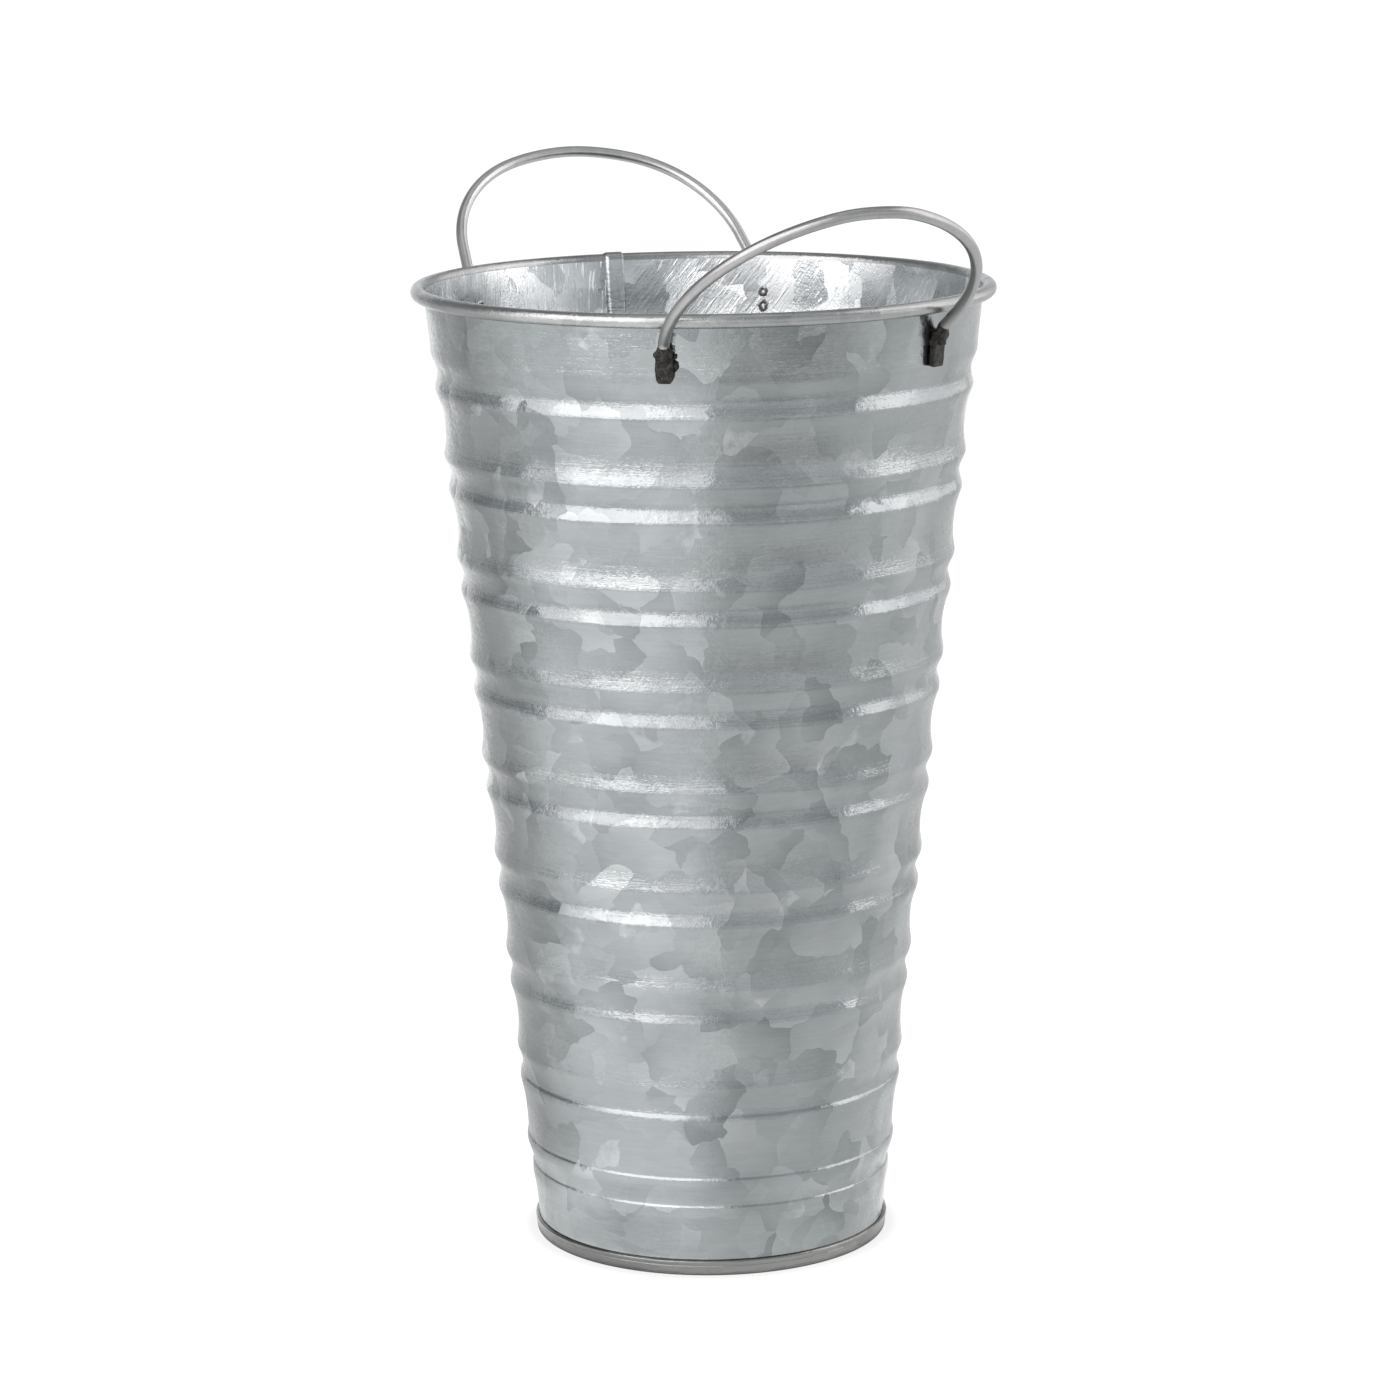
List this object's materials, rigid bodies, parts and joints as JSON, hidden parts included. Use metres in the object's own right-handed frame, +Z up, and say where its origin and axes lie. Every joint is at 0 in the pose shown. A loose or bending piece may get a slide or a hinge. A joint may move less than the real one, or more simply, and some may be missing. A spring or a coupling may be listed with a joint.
{
  "type": "florist bucket",
  "caption": "Tall tapered bucket of galvanised sheet with rolled grooves, a wired rim, a seamed foot and a wire handle on each side.",
  "frame": {"origin": "centre of the ring on which the foot stands, on the bucket's axis", "axes": "+Z up along the bucket's axis; the handles stand out on +X and -X; the lock seam is on the inside, under the -X handle"},
  "size_m": [0.2483, 0.18, 0.3348],
  "materials": {
    "galvanised_sheet": "hot-dip galvanised, zinc spangle, satin",
    "galvanised_base": "hot-dip galvanised, duller on the seam",
    "rim_wire": "plain drawn wire",
    "handle_wire": "satin drawn wire, scorched at the flattened ends",
    "weld": "scorched weld metal"
  },
  "bodies": {
    "root": {"wall": "galvanised_sheet", "rim_wire": "rim_wire", "base_pan": "galvanised_base", "handle_right": "handle_wire", "handle_left": "handle_wire", "welds_right_front": "weld", "welds_right_back": "weld", "welds_left_front": "weld", "welds_left_back": "weld"}
  },
  "joints": []
}
